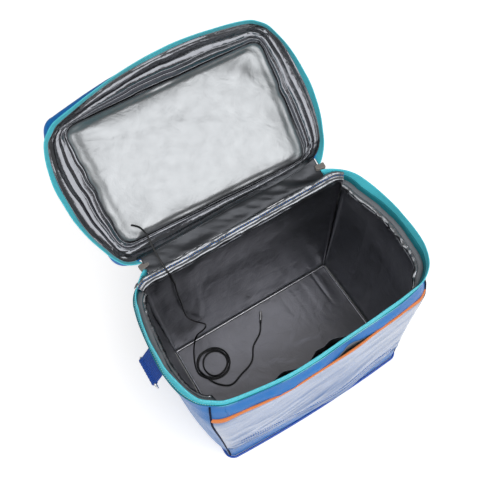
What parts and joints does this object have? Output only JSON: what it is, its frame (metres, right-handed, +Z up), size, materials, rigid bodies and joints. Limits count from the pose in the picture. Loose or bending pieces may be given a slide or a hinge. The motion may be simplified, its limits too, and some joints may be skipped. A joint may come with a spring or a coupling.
{
  "type": "vaccine carrier",
  "caption": "Soft insulated carrier bag with a foil lining, a zip-round hinged lid, a front pocket, side strap rings and a wired temperature probe.",
  "frame": {"origin": "middle of the underside of the base panel", "axes": "+Z up, -Y towards the front pocket, +Y towards the lid hinge, +X to the right when looking at the pocket"},
  "size_m": [0.4308, 0.4648, 0.4462],
  "materials": {
    "shell_cloth": "coated cloth, semi-gloss",
    "pocket_cloth": "coated cloth, semi-gloss",
    "foam": "closed-cell foam",
    "foil": "aluminised film, creased",
    "piping": "satin",
    "orange_binding": "woven tape",
    "grey_cloth": "ribbed tape",
    "zip_tape": "woven tape",
    "zip_coil": "moulded coil",
    "slider_metal": "enamelled die-cast zinc",
    "webbing": "ribbed webbing",
    "ring_metal": "nickel-plated wire",
    "case_plastic": "moulded",
    "display": "glossy window",
    "board": "circuit board",
    "cell_metal": "bright",
    "cable_jacket": "satin",
    "probe_metal": "drawn stainless tube"
  },
  "bodies": {
    "body": {"shell_base": "shell_cloth", "shell_front": "shell_cloth", "shell_back": "shell_cloth", "shell_left": "shell_cloth", "shell_right": "shell_cloth", "pocket_panel": "shell_cloth", "foam_front": "foam", "foam_back": "foam", "foam_left": "foam", "foam_right": "foam", "foam_base": "foam", "lining_front": "foil", "lining_back": "foil", "lining_left": "foil", "lining_right": "foil", "lining_floor": "foil", "floor_welt": "foil", "back_rim_fold": "foil", "corner_piping": "piping", "base_piping": "piping", "pocket_binding": "orange_binding", "rim_binding": "grey_cloth", "hinge_flap": "grey_cloth", "body_zip_tape": "zip_tape", "body_zip_coil": "zip_coil", "slider_left": "slider_metal", "slider_right": "slider_metal", "strap_tab_left": "webbing", "strap_tab_right": "webbing", "sensor_cable_upper": "cable_jacket", "sensor_cable_hank": "cable_jacket", "sensor_cable_lower": "cable_jacket", "probe_sleeve": "cable_jacket", "probe_tip": "probe_metal"},
    "lid": {"lid_top": "shell_cloth", "lid_band": "shell_cloth", "lid_foam": "foam", "lid_band_foam": "foam", "lid_lining_panel": "foil", "lid_lining_gusset": "foil", "lid_piping": "piping", "lid_zip_tape": "zip_tape", "lid_zip_coil": "zip_coil", "carry_handle": "webbing", "meter_case": "case_plastic", "meter_display": "display", "meter_board": "board", "meter_cells": "cell_metal"},
    "zip_pull_left": {"zip_pull_left": "slider_metal"},
    "zip_pull_right": {"zip_pull_right": "slider_metal"},
    "d_ring_left": {"d_ring_left": "ring_metal"},
    "d_ring_right": {"d_ring_right": "ring_metal"}
  },
  "joints": [
    {"name": "lid_hinge", "type": "hinge", "parent": "body", "child": "lid", "pos_m": [0, 0.1225, 0.306], "axis": [0.9999, 0.0105, 0], "range_deg": [-34.7, 145.3], "deforming": ["hinge_flap", "sensor_cable_upper"]},
    {"name": "pull_left_swing", "type": "hinge", "parent": "body", "child": "zip_pull_left", "pos_m": [-0.147, 0.12006, 0.3007], "axis": [-0.1392, 0.9903, 0], "range_deg": [-75, 75]},
    {"name": "pull_right_swing", "type": "hinge", "parent": "body", "child": "zip_pull_right", "pos_m": [0.147, 0.12314, 0.3007], "axis": [-0.1392, -0.9903, 0], "range_deg": [-75, 75]},
    {"name": "ring_left_swing", "type": "hinge", "parent": "body", "child": "d_ring_left", "pos_m": [-0.21154, 0, 0.26236], "axis": [0, 1, 0], "range_deg": [-40, 120]},
    {"name": "ring_right_swing", "type": "hinge", "parent": "body", "child": "d_ring_right", "pos_m": [0.21154, 0, 0.26236], "axis": [0, 1, 0], "range_deg": [-120, 40]}
  ]
}
